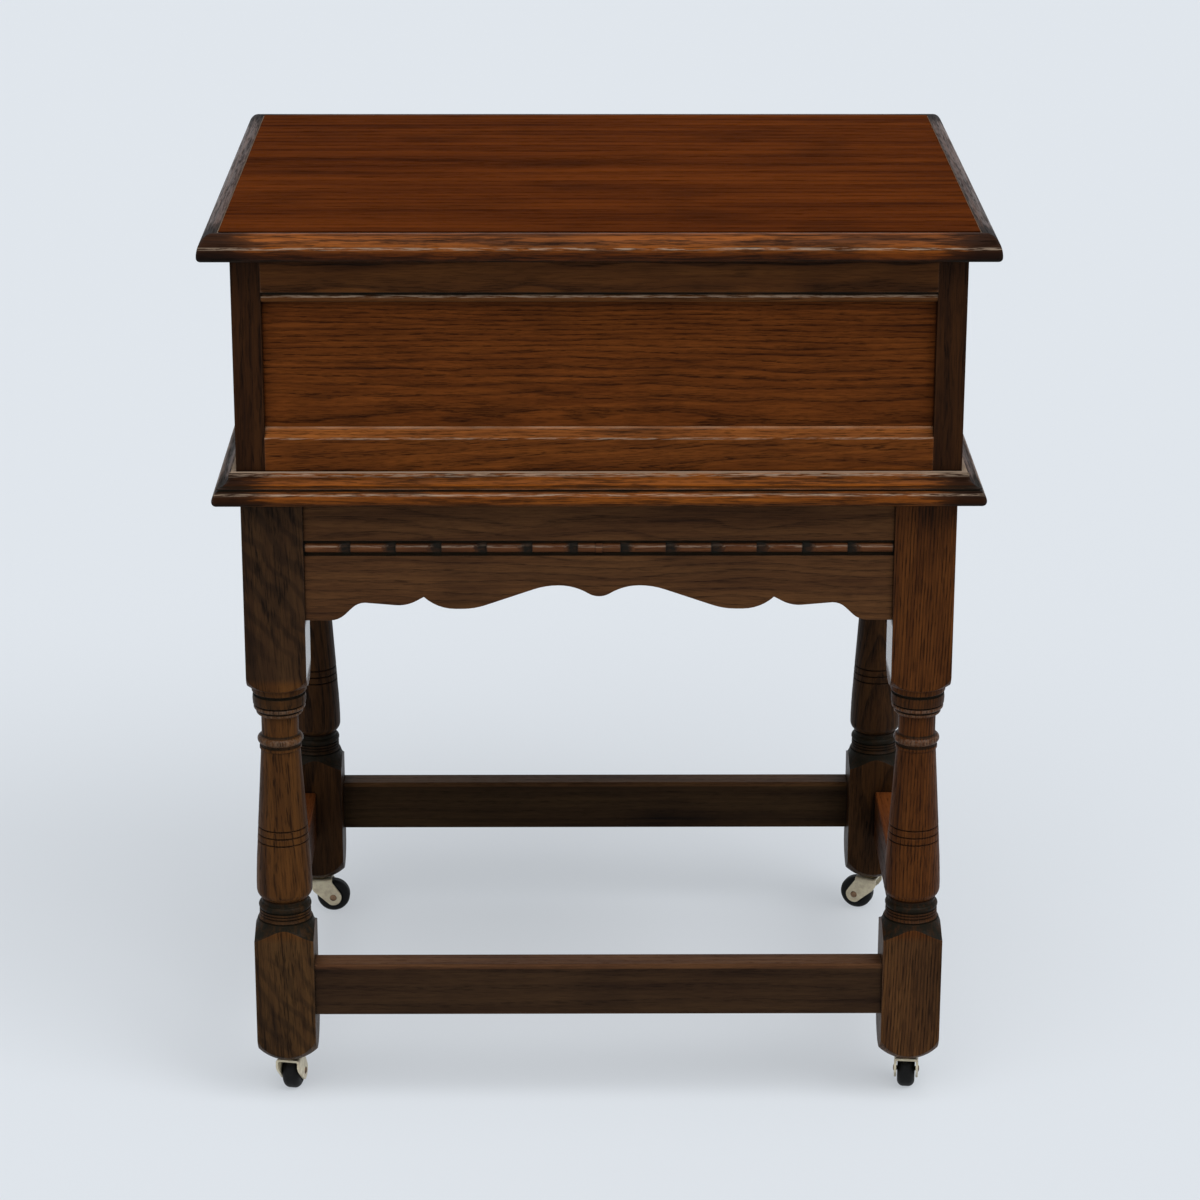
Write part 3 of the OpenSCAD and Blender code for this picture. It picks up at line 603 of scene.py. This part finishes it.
class OAKTABLE_OT_legs(bpy.types.Operator):
    """Finish the turned legs"""

    bl_idname = "oak_table.legs"
    bl_label = "Legs"

    def execute(self, context):
        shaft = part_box("leg_front_left")[0].z + LEG_SHAFT
        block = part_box("leg_front_left")[0].z + LEG_BLOCK
        sheen_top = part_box("apron_front")[0].z - 0.004
        # Black stain on the foot, painted shade in the grooves and painted highlights on the crests of
        # the turning, from the foot up
        turnings = (
            Band(shaft - 0.006, shaft + 0.0112, black=0.97),
            Band(shaft + 0.0112, shaft + 0.0183, black=0.5),
            Band(shaft + 0.0183, shaft + 0.0268, black=0.97),
            # Painted shade in the grooves about the rings, and painted highlights on the rings' crests
            Band(block - 0.0565, block - 0.0543, black=0.8),
            Band(block - 0.0541, block - 0.0484, painted_glint=0.12, coat=0.15),
            Band(block - 0.0482, block - 0.0465, black=0.8),
            Band(block - 0.0305, block - 0.0285, painted_glint=0.15, coat=0.12),
            Band(block - 0.0285, block - 0.0268, black=0.8),
            Band(block - 0.0265, block - 0.0242, painted_glint=0.15, coat=0.12),
            Band(block - 0.0239, block - 0.0226, black=0.9),
            Band(block - 0.0155, block - 0.0131, black=0.9),
            Band(block - 0.0226, block - 0.0131, black=0.45),
        )
        # Stain of the square blocks, where it differs from the turning's
        blocks = {
            "front_left": (
                Band(block, block + 0.3, tint=(0.54, 0.66, 1.08), soft=0.004),
                Band(shaft - 0.2, shaft, tint=(0.92, 1.14, 1.56), soft=0.004),
            ),
            "front_right": (
                Band(shaft - 0.2, shaft, tint=(0.97, 1.3, 2.1), soft=0.004),
            ),
        }
        for i, corner in enumerate(CORNERS):
            low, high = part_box("leg_" + corner)
            axis = middle_of("leg_" + corner)
            half = (high.x - low.x) / 2
            across, back = LEG_PITH[corner]
            inner = axis.x - math.copysign(half, axis.x)
            dress("leg_" + corner, oak(
                "oak_leg_" + corner, "z", 11 + i, pith=(axis.x + across, axis.y + back), gloss=0.36,
                shine=0.05, wear=0.3, polish=0.12, bands=turnings + blocks.get(corner, ()),
                turned=(axis.x, axis.y, half),
                flame=(shaft - 0.01, block + 0.004) if corner == "front_left" else None,
                sheen=(inner, block + 0.002, sheen_top) if corner.startswith("front") else None,
                **LEG_WOOD[corner],
            ))
        return {"FINISHED"}


class OAKTABLE_OT_frame(bpy.types.Operator):
    """Finish the aprons and the stretchers"""

    bl_idname = "oak_table.frame"
    bl_label = "Aprons and Stretchers"

    def execute(self, context):
        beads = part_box("apron_front")[0].z + BEADS
        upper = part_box("stretcher_front")[1].z
        left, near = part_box("leg_front_left")[1].xy
        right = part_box("leg_front_right")[0].x
        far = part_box("leg_rear_left")[0].y
        width = right - left
        depth = far - near
        # An odd number of beads on each side apron, as near as can be to the front one's pitch
        side_count = 2 * math.floor(depth / width * BEAD_COUNT / 2) + 1
        rows = {
            "x": ("X", (right + left) / 2, width / 2, width / BEAD_COUNT),
            "y": ("Y", (far + near) / 2, depth / 2, depth / side_count),
        }
        for i, side in enumerate(SIDES):
            grain = SIDE_GRAIN[side]
            # Painted shade in the recess above and below the beads and in the cuts between them, and a
            # painted highlight along the beads' tops
            bead_strip = (
                Band(beads - STRIP_HALF, beads - BEAD_HALF, black=0.85),
                Band(beads + BEAD_HALF, beads + STRIP_HALF, black=0.85),
                Band(beads - BEAD_HALF, beads + BEAD_HALF, tint=(1.5, 1.2, 0.95), coat=0.1),
                Band(beads + 0.0008, beads + 0.0022, painted_glint=0.45),
                Band(beads - STRIP_HALF, beads + STRIP_HALF, black=0.97, beads=rows[grain]),
            )
            tone = (0.64, 0.76, 1.03) if side == "front" else (0.55, 0.6, 0.72)
            dress("apron_" + side, oak(
                "oak_apron_" + side, grain, 31 + i, tone, (-0.5, 0.1), ring=0.0016, figure=0.32,
                wander=0.009, pore=0.0008, open_grain=0.45, wear=0.5,
                bands=() if side == "rear" else bead_strip,
            ))
            dress("stretcher_" + side, oak(
                "oak_stretcher_" + side, grain, 41 + i, STRETCHER_TONES[side], (-0.2, 0.05),
                ring=0.005, figure=0.2, wander=0.006, pore=0.0008, open_grain=0.4, wear=0.7,
                polish=0.15,
                # Painted highlight along the top arris and the top face
                bands=(Band(upper - 0.0035, upper + 0.001, tint=(2.3, 2.0, 1.8)),),
            ))
        return {"FINISHED"}


class OAKTABLE_OT_box(bpy.types.Operator):
    """Finish the framed and panelled box"""

    bl_idname = "oak_table.box"
    bl_label = "Box"

    def execute(self, context):
        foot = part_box("plinth_moulding_front")[0].z
        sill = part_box("bottom_rail_front")[1].z
        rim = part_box("top_rail_front")[0].z
        for i, side in enumerate(SIDES):
            grain = SIDE_GRAIN[side]
            dress("box_panel_" + side, oak(
                "oak_panel_" + side, grain, 51 + i, (0.95, 0.71, 0.46), (-0.53, 0.02),
                ring=0.0014, figure=0.5, wander=0.004, streak=0.005, pore=0.0006, open_grain=0.7,
                shine=0.03, wear=0,
            ))
            dress("top_rail_" + side, oak(
                "oak_top_rail_" + side, grain, 61 + i, (0.75, 0.74, 0.71), (-0.62, 0.1),
                ring=0.002, figure=0.6, pore=0.0009, open_grain=0.5, wear=0.6, polish=0.2,
                # Painted shade in the quirk and a painted highlight on the bead
                bands=(
                    Band(rim + 0.0053, rim + 0.0078, black=0.95),
                    Band(rim + 0.0037, rim + 0.0052, painted_glint=0.7),
                ),
            ))
            dress("bottom_rail_" + side, oak(
                "oak_bottom_rail_" + side, grain, 71 + i, (1.04, 0.82, 0.52), (-0.48, 0.1),
                ring=0.0014, figure=0.35, streak=0.005, pore=0.0007, shine=0.04, wear=0.6,
                tilt=0.05,
                # Painted light on the sill's upward bevel and a painted highlight along its arris
                bands=(
                    Band(sill - 0.0072, sill, tint=(1.62, 1.75, 1.85)),
                    Band(sill - 0.008, sill - 0.0067, painted_glint=0.5, soft=0.0004),
                ),
            ))
            # The sides and back are painted darker than the front as painted shade
            tone = (1.5, 1.15, 0.45) if side == "front" else (0.55, 0.5, 0.4)
            dress("plinth_moulding_" + side, oak(
                "oak_plinth_" + side, grain, 81 + i, tone, (-0.4, 0.1), ring=0.003, figure=0.6,
                gloss=0.3, shine=0.06, wear=0.5, polish=0.1, patina=0.72,
                mitred=outline("plinth_moulding_front", "plinth_moulding_right", PLINTH_WIDTH),
                # Painted shade under the foot and in the quirks, painted highlights on the torus and
                # the top bead
                bands=(
                    Band(foot - 0.001, foot + 0.002, black=0.6, soft=0.0015),
                    Band(foot + 0.0112, foot + 0.0128, black=0.95, soft=0.0004),
                    Band(foot + 0.0134, foot + 0.0142, black=0.7, soft=0.0004),
                    Band(foot + 0.0086, foot + 0.0099, painted_glint=0.65),
                    Band(foot + 0.02, foot + 0.0228, painted_glint=0.55, soft=0.0009),
                ),
            ))
        for i, corner in enumerate(CORNERS):
            dress("corner_post_" + corner, oak(
                "oak_post_" + corner, "z", 91 + i, (0.25, 0.24, 0.22), (0.1, 0.3), ring=0.004,
                streak=0.006, shine=0.05, wear=0.2,
            ))
        dress("base_board", oak(
            "oak_base_board", "x", 97, (1.6, 2.0, 2.6), (-0.4, 0.1), ring=0.005, gloss=0.6, wear=0,
        ))
        return {"FINISHED"}


class OAKTABLE_OT_lid(bpy.types.Operator):
    """Finish the lid and its mitred mouldings"""

    bl_idname = "oak_table.lid"
    bl_label = "Lid"

    def execute(self, context):
        dress("lid_panel", oak(
            "oak_lid_panel", "x", 5, (0.8, 0.505, 0.26), (-0.74, 0.03), ring=0.011, figure=0.3,
            wander=0.01, streak=0.022, light=0.8, open_grain=0.45, gloss=0.36, shine=0.0004,
            wear=0,
        ))
        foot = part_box("lid_moulding_front")[0].z
        for i, side in enumerate(SIDES):
            grain = SIDE_GRAIN[side]
            # The sides and back are painted darker than the front as painted shade
            tone = (1.7, 1.3, 0.62) if side == "front" else (0.5, 0.45, 0.36)
            dress("lid_moulding_" + side, oak(
                "oak_lid_moulding_" + side, grain, 101 + i, tone, (-0.6, 0.1), ring=0.003,
                figure=0.6, gloss=0.28, shine=0.07, wear=0.5, polish=0.1, patina=0.72,
                mitred=outline("lid_moulding_front", "lid_moulding_right", LID_MOULDING_WIDTH),
                # Painted shade over the lower part and under the foot, and a painted highlight along
                # the thumb
                bands=(
                    Band(foot - 0.002, foot + 0.0078, tint=(0.45, 0.38, 0.25), soft=0.002),
                    Band(foot - 0.001, foot + 0.002, black=0.85, soft=0.0015),
                    Band(foot + 0.0092, foot + 0.0108, painted_glint=0.6),
                ),
            ))
        return {"FINISHED"}


class OAKTABLE_OT_hinges(bpy.types.Operator):
    """Finish the butt hinges and their screws"""

    bl_idname = "oak_table.hinges"
    bl_label = "Hinges"

    def execute(self, context):
        brass = metal("hinge_brass", (0.42, 0.29, 0.11), (0.09, 0.06, 0.03), 0.32)
        screw = metal("screw_brass", (0.36, 0.25, 0.1), (0.06, 0.04, 0.02), 0.36)
        for node in ("hinge_box_leaves", "hinge_lid_leaves", "hinge_pins"):
            dress(node, brass)
        for node in ("hinge_box_screws", "hinge_lid_screws"):
            dress(node, screw)
        return {"FINISHED"}


class OAKTABLE_OT_castors(bpy.types.Operator):
    """Finish the castors"""

    bl_idname = "oak_table.castors"
    bl_label = "Castors"

    def execute(self, context):
        dress("castor_sockets", metal("collar_brass", (0.2, 0.14, 0.06), (0.03, 0.022, 0.014), 0.4))
        horn = enamel("horn_enamel")
        axle = metal("axle_steel", (0.24, 0.15, 0.09), (0.06, 0.03, 0.018), 0.45)
        wheel = rolled_black("wheel_black")
        for corner in CORNERS:
            dress("castor_horn_" + corner, horn)
            dress("castor_axle_" + corner, axle)
            dress("castor_wheel_" + corner, wheel)
        return {"FINISHED"}


class OAKTABLE_OT_stage(bpy.types.Operator):
    """Lay the floor and hang the lamps"""

    bl_idname = "oak_table.stage"
    bl_label = "Stage"

    def execute(self, context):
        stage = context.scene.oak_table_stage
        reach = 40.0
        corners = [(-reach, -reach, 0), (reach, -reach, 0), (reach, reach, 0), (-reach, reach, 0)]
        mesh = bpy.data.meshes.new("floor")
        mesh.from_pydata(corners, [], [(0, 1, 2, 3)])
        floor = bpy.data.objects.new("floor", mesh)
        context.scene.collection.objects.link(floor)
        s = Shader("floor_paper")
        paper = colour(stage.floor_colour)
        lift = stage.shadow_lift
        seen = s.background_ray()
        base = s.mix(seen, paper, tuple(c * (1 - lift) for c in paper))
        glow = s.mix(seen, (0, 0, 0), tuple(c * lift for c in paper))
        s.put(s.surface.inputs["Emission Color"], glow)
        floor.data.materials.append(s.finish(base, 0.9, Specular_IOR_Level=0.0, Emission_Strength=1.0))

        def lamp(name, azimuth, elevation, strength, spread):
            """A soft light far away. Azimuth 0 is behind the camera and grows towards +X."""
            data = bpy.data.lights.new(name, "SUN")
            data.energy = strength
            data.angle = math.radians(spread)
            light = bpy.data.objects.new(name, data)
            around = math.radians(azimuth)
            above = math.radians(elevation)
            level = math.cos(above)
            back = Vector((math.sin(around) * level, -math.cos(around) * level, math.sin(above)))
            light.location = back * 4
            light.rotation_mode = "QUATERNION"
            light.rotation_quaternion = (-back).to_track_quat("-Z", "Y")
            context.scene.collection.objects.link(light)

        lamp("overhead", 10, 65, stage.overhead, 60)
        lamp("key", 57, 45, stage.key_light, 32)
        lamp("fill", -40, 30, stage.key_light * 0.3, 50)

        world = bpy.data.worlds.new("studio")
        world.use_nodes = True
        context.scene.world = world
        sky = Tree(world.node_tree)
        ground = sky.nodes["Background"]
        sky.put(ground.inputs["Color"], colour(stage.floor_colour))
        room = stage.room_light
        sky.put(ground.inputs["Strength"], sky.background_ray() * (1 - room) + room)
        context.scene.view_settings.view_transform = "Standard"
        return {"FINISHED"}


class OAKTABLE_PT_panel(bpy.types.Panel):
    """Lists the table's pieces and the stage"""

    bl_idname = "OAKTABLE_PT_panel"
    bl_label = "Oak Table"
    bl_space_type = "VIEW_3D"
    bl_region_type = "UI"
    bl_category = "Oak Table"

    def draw(self, context):
        scene = context.scene
        for group in (scene.oak_table_finish, scene.oak_table_stage):
            box = self.layout.box()
            for name in group.bl_rna.properties.keys():
                if name not in ("rna_type", "name"):
                    box.prop(group, name)
        for operator in OPERATORS:
            self.layout.operator(operator.bl_idname)


OPERATORS = (
    OAKTABLE_OT_camera,
    OAKTABLE_OT_legs,
    OAKTABLE_OT_frame,
    OAKTABLE_OT_box,
    OAKTABLE_OT_lid,
    OAKTABLE_OT_hinges,
    OAKTABLE_OT_castors,
    OAKTABLE_OT_stage,
)
CLASSES = (OAKTABLE_PG_finish, OAKTABLE_PG_stage) + OPERATORS + (OAKTABLE_PT_panel,)


def register():
    for cls in CLASSES:
        bpy.utils.register_class(cls)
    bpy.types.Scene.oak_table_finish = PointerProperty(type=OAKTABLE_PG_finish)
    bpy.types.Scene.oak_table_stage = PointerProperty(type=OAKTABLE_PG_stage)


def unregister():
    del bpy.types.Scene.oak_table_stage
    del bpy.types.Scene.oak_table_finish
    for cls in reversed(CLASSES):
        bpy.utils.unregister_class(cls)


def main():
    register()
    for operator in OPERATORS:
        group, name = operator.bl_idname.split(".")
        getattr(getattr(bpy.ops, group), name)()


if __name__ == "__main__":
    main()
